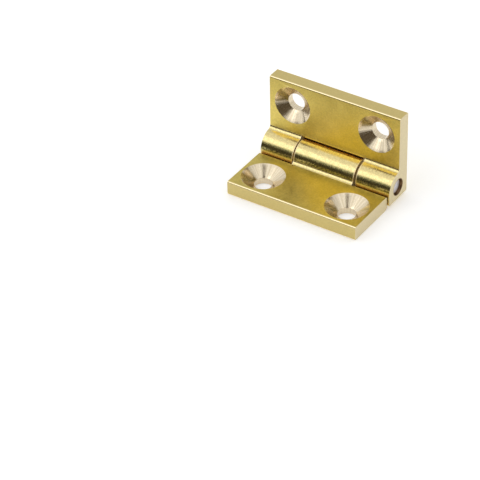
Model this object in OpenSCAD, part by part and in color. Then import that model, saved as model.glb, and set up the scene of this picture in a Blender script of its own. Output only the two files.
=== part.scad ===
// Small solid brass butt hinge, opened to a right angle.
// X runs along the pin. One leaf lies flat towards -Y with its back on z = 0,
// the other stands up along +Z. The origin is on the lying leaf's back,
// straight under the middle of the pin's axis.
// Both leaves are cut from one drawn bar: a flat leaf with a knuckle that is
// round towards the leaf and square on its outer side. Its square corner meets
// the wall of the other leaf's slot just past a right angle and stops the hinge.

/* [Leaves] */
// Length of the standing leaf along the pin
leaf_l = 30; // [26:1:60]
// How much shorter the lying leaf is cut
lower_leaf_short = 0.4; // [0:0.1:0.8]
// Place of the lying leaf's middle on the pin, from the standing leaf's middle
lower_leaf_at = -0.15; // [-0.5:0.05:0.5]
// Width of a leaf from the pin's axis to its free edge
leaf_w = 15.75; // [15:0.25:30]
// Thickness of a leaf
leaf_t = 3.1; // [2.7:0.1:4]
// Gap between the two inner faces when the hinge is closed
closed_gap = 0.6; // [0.3:0.1:1]
// Rounding along the drawn edges of the bar
edge_r = 0.3; // [0.15:0.05:0.5]

/* [Knuckles] */
// Length of the standing leaf's left knuckle
left_knuckle_l = 7.45; // [5:0.05:10]
// Length of the standing leaf's right knuckle
right_knuckle_l = 7.8; // [5:0.05:10]
// Play between the middle knuckle and the left one
left_play = 0.3; // [0.1:0.05:0.5]
// Play between the middle knuckle and the right one
right_play = 0.5; // [0.1:0.05:0.6]
// Distance from the pin's axis to the square outer face of a knuckle
knuckle_out = 2.7; // [2.4:0.1:3.2]
// Fillet between the round of a knuckle and the inner face of its leaf
fillet_r = 0.9; // [0.5:0.05:1]

/* [Knuckle slots] */
// Gap between a knuckle's flat front and the slot's wall at a right angle
stop_gap = 0.2; // [0.1:0.05:0.5]
// Rounding of the slot's wall towards the inner face
slot_front_r = 0.5; // [0.2:0.05:0.8]
// Rounding of the slot's wall towards the back
slot_back_r = 0.75; // [0.2:0.05:1]

/* [Screw holes] */
// Diameter of a screw hole
hole_d = 3.8; // [3:0.1:4.5]
// Diameter of the lying leaf's countersinks at its inner face
lower_countersink_d = 9; // [7:0.1:9.2]
// Diameter of the standing leaf's countersinks, which are cut less deep
upright_countersink_d = 8.25; // [7:0.05:9.2]
// Included angle of a countersink
countersink_angle = 110; // [100:1:120]
// Distance from a screw hole to the nearer end of the standing leaf
hole_from_end = 5.3; // [5.1:0.1:7]
// Distance from a screw hole to the free edge of its leaf
hole_from_edge = 5.3; // [5.1:0.1:5.8]

/* [Pin] */
// Diameter of the pin, and of the outer knuckles that grip it
pin_d = 3.5; // [3:0.1:3.8]
// Radial clearance of the pin in the middle knuckle that turns on it
pin_clearance = 0.03; // [0.01:0.01:0.08]
// Depth of each end of the pin inside its knuckle
pin_recess = 0.55; // [0.3:0.05:1.5]
// Bevel round each end of the pin
pin_bevel = 0.3; // [0.1:0.05:0.5]

/* [Hidden] */
$fn = 96;
// Distance from the pin's axis to a leaf's inner face
inner = closed_gap / 2;
// Distance from the pin's axis to a leaf's back
back = leaf_t + inner;
// Radius of a knuckle's round and height of its flat front. It equals the
// distance to the back, so a closed hinge has its knuckles flush on both sides
barrel_r = back;
// Distance from the pin's axis to the wall of a slot
wall = barrel_r + stop_gap;
// Centre of the fillet, and the point where it runs into the knuckle's round
fillet_z = fillet_r - inner;
fillet_y = -sqrt(pow(barrel_r + fillet_r, 2) - pow(fillet_z, 2));
fillet_end = [fillet_y, fillet_z] * barrel_r / (barrel_r + fillet_r);
// Ends of the middle knuckle's room along the pin
room_left = left_knuckle_l - leaf_l / 2;
room_right = leaf_l / 2 - right_knuckle_l;
hole_x = leaf_l / 2 - hole_from_end;
hole_y = leaf_w - hole_from_edge;
pin_l = leaf_l - 2 * pin_recess;
// How far a cutting shape reaches past what it cuts
past = 1;

brass = [0.80, 0.68, 0.30];
steel = [0.72, 0.72, 0.73];

// What a rounding of radius r takes off the corner at (y, z).
// side_y and side_z are 1 or -1 and point from the corner into the metal.
module corner_waste(y, z, side_y, side_z, r) {
    difference() {
        translate([y - (side_y > 0 ? past : r), z - (side_z > 0 ? past : r)])
            square(r + past);
        translate([y + side_y * r, z + side_z * r])
            circle(r = r);
    }
}

// Section of the drawn bar about the pin's axis, with its leaf towards -y
module bar_section() {
    difference() {
        polygon([
            [-leaf_w, -back],
            [knuckle_out, -back],
            [knuckle_out, barrel_r],
            [0, barrel_r],
            fillet_end,
            [fillet_y, -inner],
            [-leaf_w, -inner]
        ]);
        translate([fillet_y, fillet_z])
            circle(r = fillet_r);
        corner_waste(-leaf_w, -back, 1, 1, edge_r);
        corner_waste(-leaf_w, -inner, 1, -1, edge_r);
        corner_waste(knuckle_out, -back, -1, 1, edge_r);
        corner_waste(knuckle_out, barrel_r, -1, -1, edge_r);
    }
    knuckle_round();
}

// Sector of the knuckle's round, from its flat front to the fillet
module knuckle_round() {
    intersection() {
        circle(r = barrel_r);
        polygon([
            [0, 0],
            [0, barrel_r + past],
            [-barrel_r - past, barrel_r + past],
            2 * fillet_end
        ]);
    }
}

// Section that is milled out of a bar to make room for the other leaf's
// knuckle, with the two rounded edges of the wall that it leaves
module slot_section() {
    translate([-wall, -back - past])
        square([wall + knuckle_out + past, back + barrel_r + 2 * past]);
    translate([fillet_y, -inner])
        square([-fillet_y, barrel_r + inner + past]);
    corner_waste(-wall, -inner, -1, -1, slot_front_r);
    corner_waste(-wall, -back, -1, 1, slot_back_r);
}

// Draws a section in the Y-Z plane and carries it along X
module along_pin(from_x, to_x) {
    translate([from_x, 0, 0])
        rotate([90, 0, 90])
            linear_extrude(height = to_x - from_x)
                children();
}

module pin_bore(d) {
    translate([-leaf_l / 2 - past, 0, 0])
        rotate([0, 90, 0])
            cylinder(d = d, h = leaf_l + 2 * past);
}

// Screw hole with its countersink in the inner face
module screw_hole(countersink_d) {
    countersink_h = (countersink_d - hole_d) / 2 / tan(countersink_angle / 2);
    translate([0, 0, -back - past])
        cylinder(d = hole_d, h = leaf_t + 2 * past);
    translate([0, 0, -inner - countersink_h])
        cylinder(d1 = hole_d, d2 = countersink_d, h = countersink_h);
}

// A leaf about the pin's axis, lying towards -Y with its back down.
// Each slot is a pair of ends along X.
module leaf(length, middle, slots, bore_d, countersink_d) {
    difference() {
        along_pin(middle - length / 2, middle + length / 2)
            bar_section();
        for (slot = slots)
            along_pin(slot[0], slot[1])
                slot_section();
        pin_bore(bore_d);
        for (side = [-1, 1])
            translate([middle + side * hole_x, -hole_y, 0])
                screw_hole(countersink_d);
    }
}

// Lying leaf with the middle knuckle, which turns on the pin
module lower_leaf() {
    left_slot = [-leaf_l / 2 - past, room_left + left_play];
    right_slot = [room_right - right_play, leaf_l / 2 + past];
    slots = [left_slot, right_slot];
    bore_d = pin_d + 2 * pin_clearance;
    color(brass)
        translate([0, 0, back])
            leaf(leaf_l - lower_leaf_short, lower_leaf_at, slots, bore_d, lower_countersink_d);
}

// Standing leaf with the two outer knuckles, which grip the pin
module upright_leaf() {
    color(brass)
        translate([0, 0, back])
            mirror([0, 1, 1])
                leaf(leaf_l, 0, [[room_left, room_right]], pin_d, upright_countersink_d);
}

// Plain pin, bevelled and sunk at both ends
module hinge_pin() {
    straight_l = pin_l - 2 * pin_bevel;
    color(steel)
        translate([-pin_l / 2, 0, back])
            rotate([0, 90, 0]) {
                cylinder(d1 = pin_d - 2 * pin_bevel, d2 = pin_d, h = pin_bevel);
                translate([0, 0, pin_bevel])
                    cylinder(d = pin_d, h = straight_l);
                translate([0, 0, pin_bevel + straight_l])
                    cylinder(d1 = pin_d, d2 = pin_d - 2 * pin_bevel, h = pin_bevel);
            }
}

lower_leaf();
upright_leaf();
hinge_pin();
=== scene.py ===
import math

import bpy
from mathutils import Matrix, Vector

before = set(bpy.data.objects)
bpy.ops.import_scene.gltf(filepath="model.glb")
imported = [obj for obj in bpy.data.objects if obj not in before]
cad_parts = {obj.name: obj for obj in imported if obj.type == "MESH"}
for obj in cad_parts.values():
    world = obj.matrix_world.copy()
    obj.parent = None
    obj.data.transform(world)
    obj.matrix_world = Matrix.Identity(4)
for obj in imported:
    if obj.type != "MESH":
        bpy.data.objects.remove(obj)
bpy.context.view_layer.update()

# The two brass leaves.
# Each is cut from a drawn bar of solid brass, so its faces are satin with faint
# clouds. Its ends are sawn, its knuckles are milled and bright, and its two
# holes are drilled and countersunk with a cutter that leaves them silvery.
# Their colour also carries painted light: painted shade on the knuckles' lower side and in
# the slots and bores, painted highlights on the rounded edges and rims, painted reflection
# in sectors in the countersinks, and a lighter standing leaf.
MM = 0.001

# Sizes in millimetres, as the source of the solids has them
AXIS_HEIGHT = 3.4
HOLE_X = 9.7
HOLE_FROM_AXIS = 10.45
LOWER_MIDDLE = -0.15
LOWER_COUNTERSINK_R = 4.5
UPRIGHT_COUNTERSINK_R = 4.125
COUNTERSINK_MARGIN = 0.06
BROKEN_EDGE = 0.08
# An edge between a countersink and its face is just sharp enough to be broken
SHARP_ANGLE = math.radians(30)
WELD_DISTANCE = 1e-7
LARGE_FACE_WEIGHT = 90
# Each gap between two knuckles: its middle along the pin and half its width
KNUCKLE_GAPS = ((-7.4, 0.15), (6.95, 0.25))
# The knuckles' rims beside each gap get a painted highlight this wide
RIM_WIDTH = 0.24

# Where a surface starts to count as something and where it fully does.
# These are distances from the pin's axis or plane, in millimetres
KNUCKLE_REACH = (4.8, 4.3)
ROUND_REACH = (3.7, 3.5)
BORE_REACH = (1.90, 1.80)
LEAF_START = (5.0, 5.5)
LEAF_FACE = (-0.32, -0.22)
SLOT_WALL_START = (3.0, 3.3)
# These are parts of the normal, along one direction of the leaf
SAWN_FACING = (0.80, 0.95)
RIM_FACING = (0.12, 0.35)
RIM_END_FACING = (0.97, 0.85)
FREE_EDGE_FACING = (0.80, 0.95)
ROUND_FACING = (-0.2, 0.05)
SLOT_WALL_FACING = (-0.15, -0.60)
SLOPED_FACING = (0.97, 0.90)
CORNER_FACING = (0.06, 0.16)
# These are angles round the pin's axis, from straight up towards the front:
# the lower half of the knuckles gets painted shade, a dark band, down to the root
PAINTED_SHADE_FROM = (math.radians(46), math.radians(64))
PAINTED_SHADE_TO = (math.radians(90), math.radians(80))

DRAWN_FACE = (0.69, 0.55, 0.15, 1)
DRAWN_DULL = (0.60, 0.475, 0.12, 1)
FREE_EDGE = (0.68, 0.55, 0.22, 1)
# Painted highlight on the rounded edges and on the knuckles' rims
EDGE_HIGHLIGHT = (0.95, 0.80, 0.48, 1)
TURNED_KNUCKLE = (0.77, 0.64, 0.30, 1)
# Painted shade on the knuckles' lower side, and the lighter specks in it
KNUCKLE_PAINTED_SHADE = (0.18, 0.16, 0.065, 1)
KNUCKLE_SHADE_SPECKS = (0.50, 0.44, 0.18, 1)
# Painted shade and reflection: dark orange on the slot walls that face the knuckles
SLOT_WALL_SHADE = (0.55, 0.30, 0.08, 1)
# Painted shade in the bores round the pin
BORE_SHADE = (0.32, 0.20, 0.10, 1)
SAWN_END = (0.78, 0.68, 0.44, 1)
# The countersinks' cut brass in lit and shaded sectors round each hole: painted reflection
LIT_CUT = (0.88, 0.77, 0.57, 1)
SHADED_CUT = (0.76, 0.64, 0.45, 1)
# Painted light: brightness of each leaf's drawn faces, set by how they look from
# the front, which makes the standing leaf lighter than the lying one
LOWER_LEAF_PAINTED_LIGHT = 0.94
UPRIGHT_LEAF_PAINTED_LIGHT = 1.25

# Sizes of the marks in millimetres, and their stretch along the leaf's directions
CLOUD_SIZE = 5.0
MOTTLE_SIZE = 0.9
SPECK_SIZE = 0.36
GRAIN_SIZE = 0.28
SAW_LINE_SIZE = 0.22
SAW_LINE_STRETCH = (1, 0.05, 1)
DRAWN_LINE_SIZE = 0.16
DRAWN_LINE_STRETCH = (0.06, 1, 1)
# Cutter marks per radian round a hole, which also set its painted reflection sectors
CUTTER_AND_SHEEN_MARKS_PER_RADIAN = 9.0
FINE_DETAIL = 3.0
# How much of the flats' unevenness is mottle, the rest being clouds
MOTTLE_SHARE = 0.4
# The part of a noise over which its marks go from one look to the other
CLEAR_MARKS = (0.46, 0.56)
SOFT_MARKS = (0.38, 0.62)
FAINT_MARKS = (0.35, 0.65)
# How far the painted shade on the knuckles' lower side frays out in specks, and where it
# starts
FRAYING = 2.4
FRAYED_EDGE = (0.30, 0.70)
PAINTED_SHADE_START = (0.02, 0.20)
# Brightness in the darkest and in the palest of a mark
DRAWN_SPOTS = (0.95, 1.06)
KNUCKLE_SPOTS = (0.90, 1.06)
GRAIN_SHADE = (0.90, 1.12)

SATIN_ROUGHNESS = (0.30, 0.38)
KNUCKLE_ROUGHNESS = (0.28, 0.17)
SAWN_ROUGHNESS = 0.48
CUT_ROUGHNESS = 0.20
ROUNDED_ROUGHNESS = 0.12
RIM_ROUGHNESS = 0.50
# Depth of the marks, as shares of MARK_DEPTH in millimetres
MARK_DEPTH = 0.012
FLAT_GRAIN = 0.14
DRAWN_LINES = 0.25
KNUCKLE_GRAIN = 1.1
SAW_LINES = 0.8
CUTTER_LINES = 1.5


def soften_edges(node, width_mm):
    """Merges the loose triangles, breaks each sharp edge by a small bevel and
    weights the normals by face area, so flat faces stay flat and arcs round."""
    weld = node.modifiers.new("weld", "WELD")
    weld.merge_threshold = WELD_DISTANCE
    bevel = node.modifiers.new("broken_edges", "BEVEL")
    bevel.width = width_mm * MM
    bevel.segments = 2
    bevel.limit_method = "ANGLE"
    bevel.angle_limit = SHARP_ANGLE
    bevel.miter_outer = "MITER_ARC"
    weighted = node.modifiers.new("flat_faces", "WEIGHTED_NORMAL")
    weighted.weight = LARGE_FACE_WEIGHT


class Nodes:
    """Adds nodes to a tree. A number or a socket may stand for any input."""

    def __init__(self, tree):
        self.tree = tree

    def add(self, kind, inputs=(), **settings):
        node = self.tree.nodes.new(kind)
        for key, value in settings.items():
            setattr(node, key, value)
        for key, value in dict(inputs).items():
            self.put(node.inputs[key], value)
        return node

    def put(self, socket, value):
        if isinstance(value, bpy.types.NodeSocket):
            self.tree.links.new(value, socket)
        else:
            socket.default_value = value

    def math(self, operation, *values):
        node = self.add("ShaderNodeMath", enumerate(values), operation=operation)
        return node.outputs[0]

    def all_of(self, mask, *others):
        """The product of masks, 1 where every one of them is."""
        for other in others:
            mask = self.math("MULTIPLY", mask, other)
        return mask

    def opposite(self, mask):
        return self.math("SUBTRACT", 1.0, mask)

    def distance(self, across, along):
        """Root of the sum of the two squares."""
        squares = self.math("ADD", self.math("MULTIPLY", across, across),
                            self.math("MULTIPLY", along, along))
        return self.math("SQRT", squares)

    def xyz(self, vector):
        return self.add("ShaderNodeSeparateXYZ", {0: vector}).outputs

    def step(self, value, ends, unit=1.0):
        """Goes smoothly from 0 at the first end to 1 at the second, which may
        be the lower one."""
        start, full = [end * unit for end in ends]
        inputs = {"Value": value, "From Min": min(start, full),
                  "From Max": max(start, full), "To Min": float(start > full),
                  "To Max": float(start < full)}
        node = self.add("ShaderNodeMapRange", inputs, interpolation_type="SMOOTHSTEP")
        return node.outputs["Result"]

    def mix(self, factor, first, second):
        node = self.add("ShaderNodeMix", data_type="RGBA")
        for key, value in ((0, factor), (6, first), (7, second)):
            self.put(node.inputs[key], value)
        return node.outputs[2]

    def between(self, factor, first, second):
        node = self.add("ShaderNodeMix", data_type="FLOAT")
        for key, value in ((0, factor), (2, first), (3, second)):
            self.put(node.inputs[key], value)
        return node.outputs[0]

    def shaded(self, color, brightness):
        inputs = {"Color": color, "Value": brightness}
        return self.add("ShaderNodeHueSaturation", inputs).outputs[0]

    def noise(self, vector, size_mm, stretch=(1, 1, 1), detail=2.0):
        scale = [value / (size_mm * MM) for value in stretch]
        spread = self.add("ShaderNodeMapping", {"Vector": vector, "Scale": scale})
        inputs = {"Vector": spread.outputs[0], "Scale": 1.0, "Detail": detail}
        return self.add("ShaderNodeTexNoise", inputs).outputs["Fac"]


VALUE = "NodeSocketFloat"
VECTOR = "NodeSocketVector"
COLOR = "NodeSocketColor"


def new_group(name, inputs, outputs):
    """A shader node group. Its inputs and outputs are given as name: type."""
    group = bpy.data.node_groups.new(name, "ShaderNodeTree")
    for way, sockets in (("INPUT", inputs), ("OUTPUT", outputs)):
        for socket, kind in sockets.items():
            group.interface.new_socket(socket, in_out=way, socket_type=kind)
    start = group.nodes.new("NodeGroupInput")
    end = group.nodes.new("NodeGroupOutput")
    return group, Nodes(group), start.outputs, end.inputs


# Where on a leaf a point lies. Place is along the pin, out from the pin's axis
# and up from the axis' plane, and Facing is the normal in the same directions.
# Turn is the angle round the nearer hole, and the others are masks.
PLACES = ("Sawn", "Drilled", "Shaded side", "Round", "Turn", "Outer", "Rounded", "Rim",
          "Wall", "Bore")
leaf_places, make, given, put_out = new_group(
    "leaf_places",
    {"Place": VECTOR, "Facing": VECTOR, "Countersink": VALUE, "Under": VALUE,
     "By gap": VALUE},
    dict.fromkeys(PLACES, VALUE))
place = make.xyz(given["Place"])
facing = make.xyz(given["Facing"])
end_facing = make.math("ABSOLUTE", facing[0])
from_hole_x = make.math("SUBTRACT", make.math("ABSOLUTE", place[0]), HOLE_X * MM)
from_hole_y = make.math("SUBTRACT", place[1], HOLE_FROM_AXIS * MM)
hole_radius = make.distance(from_hole_x, from_hole_y)
axis_radius = make.distance(place[1], place[2])
in_hole = make.math("LESS_THAN", hole_radius, given["Countersink"])
off_hole = make.opposite(in_hole)
on_leaf = make.step(axis_radius, LEAF_START, MM)
sloped = make.step(make.math("ABSOLUTE", facing[2]), SLOPED_FACING)
on_knuckle = make.all_of(
    make.step(axis_radius, KNUCKLE_REACH, MM),
    make.step(place[2], LEAF_FACE, MM),
    make.step(facing[1], ROUND_FACING))
rim = make.all_of(
    make.step(end_facing, RIM_FACING), make.step(end_facing, RIM_END_FACING), off_hole)
gap_rim = make.all_of(given["By gap"], on_knuckle)
corner = make.math("ABSOLUTE", make.math("MULTIPLY", facing[1], facing[2]))
found = {
    "Sawn": make.step(end_facing, SAWN_FACING),
    "Drilled": make.all_of(in_hole, sloped),
    # The knuckles' lower side, which gets painted shade
    "Shaded side": make.all_of(on_knuckle, make.step(axis_radius, ROUND_REACH, MM), given["Under"]),
    "Round": on_knuckle,
    "Turn": make.math("ARCTAN2", from_hole_y, from_hole_x),
    "Outer": make.all_of(make.step(facing[1], FREE_EDGE_FACING), on_leaf),
    # The rounded edges and the knuckles' rims, which get a painted highlight
    "Rounded": make.all_of(make.step(corner, CORNER_FACING), on_leaf, off_hole),
    "Rim": make.math("MAXIMUM", rim, gap_rim),
    # The slot walls facing the knuckles, which get painted shade and reflection
    "Wall": make.all_of(make.step(facing[1], SLOT_WALL_FACING),
                        make.step(place[1], SLOT_WALL_START, MM), off_hole),
    # The bores round the pin, which get painted shade
    "Bore": make.step(axis_radius, BORE_REACH, MM),
}
for name, mask in found.items():
    make.put(put_out[name], mask)

# Bare brass: satin drawn faces with faint clouds and lines along the bar, milled
# knuckles with small spots and painted shade on their lower side, pale sawn ends
# with fine saw lines, silvery holes with the cutter's marks and painted reflection
# in sectors, painted highlights on the rounded edges and rims, and painted shade
# and reflection in the slot walls and bores. Light is painted light, the
# brightness of the flats.
bare_brass, make, given, put_out = new_group(
    "bare_brass",
    {"Place": VECTOR, **dict.fromkeys(PLACES, VALUE), "Light": VALUE},
    {"Color": COLOR, "Roughness": VALUE, "Height": VALUE})
spot = given["Place"]
clouds = make.noise(spot, CLOUD_SIZE)
mottle = make.noise(spot, MOTTLE_SIZE, detail=FINE_DETAIL)
specks = make.noise(spot, SPECK_SIZE, detail=FINE_DETAIL)
grain = make.noise(spot, GRAIN_SIZE)
drawn_lines = make.noise(spot, DRAWN_LINE_SIZE, stretch=DRAWN_LINE_STRETCH)
saw_lines = make.noise(spot, SAW_LINE_SIZE, stretch=SAW_LINE_STRETCH)
spots = make.step(specks, SOFT_MARKS)
# Cutter marks round each hole, used both as bumps and as painted reflection sectors in the
# countersinks' colour
around_hole = make.math("MULTIPLY", given["Turn"], CUTTER_AND_SHEEN_MARKS_PER_RADIAN)
cutter_spot = make.add("ShaderNodeCombineXYZ", {0: around_hole, 1: 0.0, 2: 0.0})
cutter_and_sheen_noise = make.add("ShaderNodeTexNoise", {
    "Vector": cutter_spot.outputs[0], "Scale": 1.0, "Detail": FINE_DETAIL})
cutter_marks_and_sheen = cutter_and_sheen_noise.outputs["Fac"]

uneven = make.between(MOTTLE_SHARE, clouds, mottle)
drawn = make.mix(make.step(uneven, SOFT_MARKS), DRAWN_DULL, DRAWN_FACE)
# Painted light: each leaf's flats get their own brightness, with random spots
brightness = make.math("MULTIPLY", given["Light"], make.between(spots, *DRAWN_SPOTS))
tone = make.mix(given["Outer"], make.shaded(drawn, brightness), FREE_EDGE)
turned = make.shaded(TURNED_KNUCKLE, make.between(spots, *KNUCKLE_SPOTS))
tone = make.mix(given["Round"], tone, turned)
# Painted shade: the knuckles' lower side is darkened, fraying out in lighter specks at its
# upper border
fray = make.math("MULTIPLY_ADD", specks, FRAYING, -FRAYING / 2)
frayed = make.math("ADD", given["Shaded side"], fray)
shaded_part = make.all_of(make.step(frayed, FRAYED_EDGE),
                        make.step(given["Shaded side"], PAINTED_SHADE_START))
knuckle_shade = make.mix(make.step(specks, CLEAR_MARKS), KNUCKLE_PAINTED_SHADE, KNUCKLE_SHADE_SPECKS)
tone = make.mix(shaded_part, tone, knuckle_shade)
# Painted shade and reflection in the slots between knuckle and plate
tone = make.mix(given["Wall"], tone, SLOT_WALL_SHADE)
tone = make.mix(given["Sawn"], tone, SAWN_END)
# Painted highlight: the rounded edges and the knuckles' rims are made pale
painted_highlight = make.math("MAXIMUM", given["Rounded"], given["Rim"])
tone = make.mix(painted_highlight, tone, EDGE_HIGHLIGHT)
# Painted shade in the bores round the pin
tone = make.mix(given["Bore"], tone, BORE_SHADE)
# Painted reflection: the countersinks are lighter and darker in sectors round each hole
cut = make.mix(make.step(cutter_marks_and_sheen, FAINT_MARKS), SHADED_CUT, LIT_CUT)
tone = make.mix(given["Drilled"], tone, cut)
make.put(put_out["Color"], make.shaded(tone, make.between(grain, *GRAIN_SHADE)))

rough = make.between(make.step(mottle, FAINT_MARKS), *SATIN_ROUGHNESS)
rough = make.between(given["Round"], rough, make.between(spots, *KNUCKLE_ROUGHNESS))
rough = make.between(given["Sawn"], rough, SAWN_ROUGHNESS)
rough = make.between(given["Drilled"], rough, CUT_ROUGHNESS)
rough = make.between(given["Rounded"], rough, ROUNDED_ROUGHNESS)
rough = make.between(given["Rim"], rough, RIM_ROUGHNESS)
make.put(put_out["Roughness"], rough)

height = make.math("ADD", make.math("MULTIPLY", grain, FLAT_GRAIN),
                   make.math("MULTIPLY", drawn_lines, DRAWN_LINES))
knuckle_height = make.math("MULTIPLY", grain, KNUCKLE_GRAIN)
height = make.between(given["Round"], height, knuckle_height)
sawn_height = make.math("MULTIPLY", saw_lines, SAW_LINES)
height = make.between(given["Sawn"], height, sawn_height)
cut_height = make.math("MULTIPLY", cutter_marks_and_sheen, CUTTER_LINES)
height = make.between(given["Drilled"], height, cut_height)
height = make.between(given["Rounded"], height, 0.0)
make.put(put_out["Height"], height)


def leaf_brass(name, turn, scale, shift, countersink_r, light):
    """Brass for one leaf. The Mapping nodes turn object coordinates into places
    on the leaf, so both leaves carry the same marks. Light is painted light:
    the brightness of the leaf's flats."""
    material = bpy.data.materials.new(name)
    material.use_nodes = True
    make = Nodes(material.node_tree)
    shader = material.node_tree.nodes["Principled BSDF"]
    coords = make.add("ShaderNodeTexCoord").outputs
    place = make.add("ShaderNodeMapping", {
        "Vector": coords["Object"], "Rotation": turn, "Scale": scale,
        "Location": [value * MM for value in shift]}).outputs[0]
    facing = make.add("ShaderNodeMapping", {
        "Vector": coords["Normal"], "Rotation": turn, "Scale": scale}).outputs[0]
    spot = make.xyz(coords["Object"])
    forward = make.math("MULTIPLY", spot[1], -1.0)
    upward = make.math("SUBTRACT", spot[2], AXIS_HEIGHT * MM)
    angle = make.math("ARCTAN2", forward, upward)
    by_gap = []
    for middle, half_width in KNUCKLE_GAPS:
        from_gap = make.math("ABSOLUTE", make.math("SUBTRACT", spot[0], middle * MM))
        ends = (half_width + RIM_WIDTH, half_width + RIM_WIDTH / 2)
        by_gap.append(make.step(from_gap, ends, MM))
    where = make.add("ShaderNodeGroup", node_tree=leaf_places)
    make.put(where.inputs["Place"], place)
    make.put(where.inputs["Facing"], facing)
    make.put(where.inputs["Countersink"], (countersink_r + COUNTERSINK_MARGIN) * MM)
    # The band of angles round the pin where the knuckles get painted shade
    make.put(where.inputs["Under"],
             make.all_of(make.step(angle, PAINTED_SHADE_FROM), make.step(angle, PAINTED_SHADE_TO)))
    make.put(where.inputs["By gap"], make.math("MAXIMUM", *by_gap))
    look = make.add("ShaderNodeGroup", node_tree=bare_brass)
    make.put(look.inputs["Place"], place)
    make.put(look.inputs["Light"], light)
    for socket in where.outputs:
        make.put(look.inputs[socket.name], socket)
    bump = make.add("ShaderNodeBump", {
        "Height": look.outputs["Height"], "Distance": MARK_DEPTH * MM})
    make.put(shader.inputs["Base Color"], look.outputs["Color"])
    make.put(shader.inputs["Roughness"], look.outputs["Roughness"])
    make.put(shader.inputs["Normal"], bump.outputs[0])
    shader.inputs["Metallic"].default_value = 1.0
    return material


lower_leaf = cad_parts["lower_leaf"]
soften_edges(lower_leaf, BROKEN_EDGE)
lower_leaf.material_slots[0].material = leaf_brass(
    "lower_leaf_brass", (0, 0, 0), (1, -1, 1),
    (-LOWER_MIDDLE, 0, -AXIS_HEIGHT), LOWER_COUNTERSINK_R, LOWER_LEAF_PAINTED_LIGHT)

upright_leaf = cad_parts["upright_leaf"]
soften_edges(upright_leaf, BROKEN_EDGE)
upright_leaf.material_slots[0].material = leaf_brass(
    "upright_leaf_brass", (-math.pi / 2, 0, 0), (1, 1, 1),
    (0, -AXIS_HEIGHT, 0), UPRIGHT_COUNTERSINK_R, UPRIGHT_LEAF_PAINTED_LIGHT)


# The pin.
# A plain round steel rod, pressed into the standing leaf's knuckles. Its ends
# are cut square, a little below the ends of the hinge.
PIN_BROKEN_EDGE = 0.05
PALE_STEEL = (0.80, 0.78, 0.80, 1)
GREY_STEEL = (0.62, 0.60, 0.62, 1)
STEEL_ROUGHNESS = (0.35, 0.50)
CUT_MARK_SIZE = 0.4
CUT_MARK_STRETCH = (1, 0.3, 1)
CUT_MARK_DEPTH = 0.01

hinge_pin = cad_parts["hinge_pin"]
soften_edges(hinge_pin, PIN_BROKEN_EDGE)
steel = bpy.data.materials.new("cut_steel")
steel.use_nodes = True
make = Nodes(steel.node_tree)
shader = steel.node_tree.nodes["Principled BSDF"]
spot = make.add("ShaderNodeTexCoord").outputs["Object"]
cut_marks = make.noise(spot, CUT_MARK_SIZE, stretch=CUT_MARK_STRETCH)
bump = make.add("ShaderNodeBump", {
    "Height": cut_marks, "Distance": CUT_MARK_DEPTH * MM})
make.put(shader.inputs["Base Color"], make.mix(cut_marks, GREY_STEEL, PALE_STEEL))
make.put(shader.inputs["Roughness"], make.between(cut_marks, *STEEL_ROUGHNESS))
make.put(shader.inputs["Normal"], bump.outputs[0])
shader.inputs["Metallic"].default_value = 1.0
hinge_pin.material_slots[0].material = steel


# The floor.
# A plain white table top just under the hinge. Bare metal sees it pale near the
# hinge and dark further in front, which gives the brass its contrast.
FLOOR_SIZE = 4.0
FLOOR_BELOW = 0.02
WHITE = (0.90, 0.90, 0.90, 1)
DARK_ROOM = (0.10, 0.08, 0.055, 1)
DARK_FLOOR_START = (-24, -32)
SEEN_GLOW = 0.35
MIRRORED_GLOW = 0.25

bpy.ops.mesh.primitive_plane_add(size=FLOOR_SIZE, location=(0, 0, -FLOOR_BELOW * MM))
floor = bpy.context.object
floor.name = "floor"
paper = bpy.data.materials.new("white_table")
paper.use_nodes = True
make = Nodes(paper.node_tree)
shader = paper.node_tree.nodes["Principled BSDF"]
ray = make.add("ShaderNodeLightPath").outputs
spot = make.xyz(make.add("ShaderNodeTexCoord").outputs["Object"])
further = make.all_of(make.step(spot[1], DARK_FLOOR_START, MM), ray["Is Glossy Ray"])
near = make.math("SUBTRACT", ray["Is Glossy Ray"], further)
glow = make.math("ADD", make.math("MULTIPLY", ray["Is Camera Ray"], SEEN_GLOW),
                 make.math("MULTIPLY", near, MIRRORED_GLOW))
make.put(shader.inputs["Base Color"], make.mix(further, WHITE, DARK_ROOM))
make.put(shader.inputs["Emission Strength"], glow)
shader.inputs["Emission Color"].default_value = (1, 1, 1, 1)
shader.inputs["Roughness"].default_value = 1.0
shader.inputs["Specular IOR Level"].default_value = 0.0
floor.data.materials.append(paper)


# The room.
# A white room, which the camera sees white all over. For everything else it is
# dark low in front, in a column beside the camera and in a narrow gap overhead,
# and dimmer behind the hinge.
DIM_WHITE = (0.78, 0.78, 0.78, 1)
# Heights of a direction, from 0 at the horizon to 1 straight up
LOW_DARK = (0.38, 0.24)
COLUMN_TOP = (0.90, 0.82)
# Angles to the right of straight in front, in radians
LOW_LEFT = (-0.95, -0.75)
LOW_RIGHT = (1.25, 1.05)
COLUMN_LEFT = (0.03, 0.17)
COLUMN_RIGHT = (1.10, 0.95)
GAP_LEFT = (0.0, 0.15)
GAP_RIGHT = (0.75, 0.60)
# How far a direction points away to the back
GAP_FRONT = (0.0, -0.05)
BEHIND = (0.0, 0.3)

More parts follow.
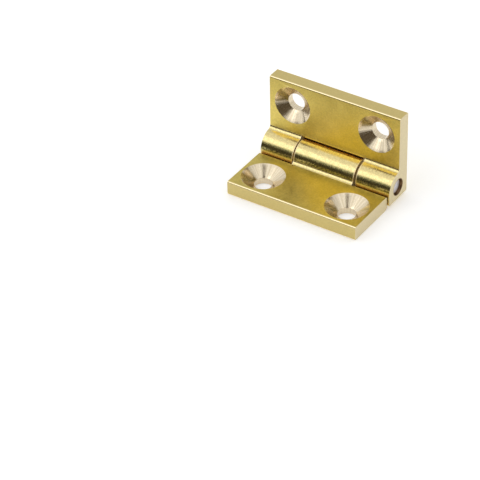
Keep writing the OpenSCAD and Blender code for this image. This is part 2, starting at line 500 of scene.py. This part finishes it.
world = bpy.data.worlds.new("studio")
bpy.context.scene.world = world
world.use_nodes = True
make = Nodes(world.node_tree)
sky = world.node_tree.nodes["Background"]
way = make.xyz(make.add("ShaderNodeTexCoord").outputs["Generated"])
unseen = make.opposite(make.add("ShaderNodeLightPath").outputs["Is Camera Ray"])
aside = make.math("ARCTAN2", way[0], make.math("MULTIPLY", way[1], -1.0))
low = make.all_of(make.step(way[2], LOW_DARK),
                  make.step(aside, LOW_LEFT), make.step(aside, LOW_RIGHT))
column = make.all_of(make.step(way[2], COLUMN_TOP),
                     make.step(aside, COLUMN_LEFT), make.step(aside, COLUMN_RIGHT))
gap = make.all_of(make.step(way[1], GAP_FRONT),
                  make.step(aside, GAP_LEFT), make.step(aside, GAP_RIGHT))
dark = make.math("MAXIMUM", low, make.math("MAXIMUM", column, gap))
behind = make.all_of(make.step(way[1], BEHIND), unseen)
light = make.mix(behind, (1, 1, 1, 1), DIM_WHITE)
make.put(sky.inputs["Color"], make.mix(make.all_of(dark, unseen), light, DARK_ROOM))
sky.inputs["Strength"].default_value = 1.0

# A soft overhead light from the front left
SOFTBOX_PLACE = Vector((-0.30, -0.45, 0.50))
SOFTBOX_SIZE = (0.5, 0.35)
SOFTBOX_POWER = 0.35

softbox = bpy.data.objects.new("softbox", bpy.data.lights.new("softbox", "AREA"))
bpy.context.scene.collection.objects.link(softbox)
softbox.data.shape = "RECTANGLE"
softbox.data.size, softbox.data.size_y = SOFTBOX_SIZE
softbox.data.energy = SOFTBOX_POWER
softbox.location = SOFTBOX_PLACE
softbox.rotation_euler = SOFTBOX_PLACE.to_track_quat("Z", "Y").to_euler()


# The camera.
# It stands in front, to the right and above, far off with a long lens.
AIM = Vector((-10.81, -17.82, -8.43)) * MM
VIEW_AZIMUTH = math.radians(33.918)
VIEW_ELEVATION = math.radians(36.486)
VIEW_ROLL = math.radians(-1.299)
VIEW_DISTANCE = 499.25 * MM
LENS = 187.5
SENSOR_WIDTH = 36.0
NEAREST = 0.01
FARTHEST = 20.0

camera = bpy.data.objects.new("camera", bpy.data.cameras.new("camera"))
bpy.context.scene.collection.objects.link(camera)
camera.data.lens = LENS
camera.data.sensor_width = SENSOR_WIDTH
camera.data.clip_start = NEAREST
camera.data.clip_end = FARTHEST
towards_camera = Vector((
    math.sin(VIEW_AZIMUTH) * math.cos(VIEW_ELEVATION),
    -math.cos(VIEW_AZIMUTH) * math.cos(VIEW_ELEVATION),
    math.sin(VIEW_ELEVATION),
))
camera.location = AIM + towards_camera * VIEW_DISTANCE
turn = (-towards_camera).to_track_quat("-Z", "Y").to_matrix()
camera.rotation_euler = (turn @ Matrix.Rotation(VIEW_ROLL, 3, "Z")).to_euler()
bpy.context.scene.camera = camera
bpy.context.scene.view_settings.view_transform = "Standard"
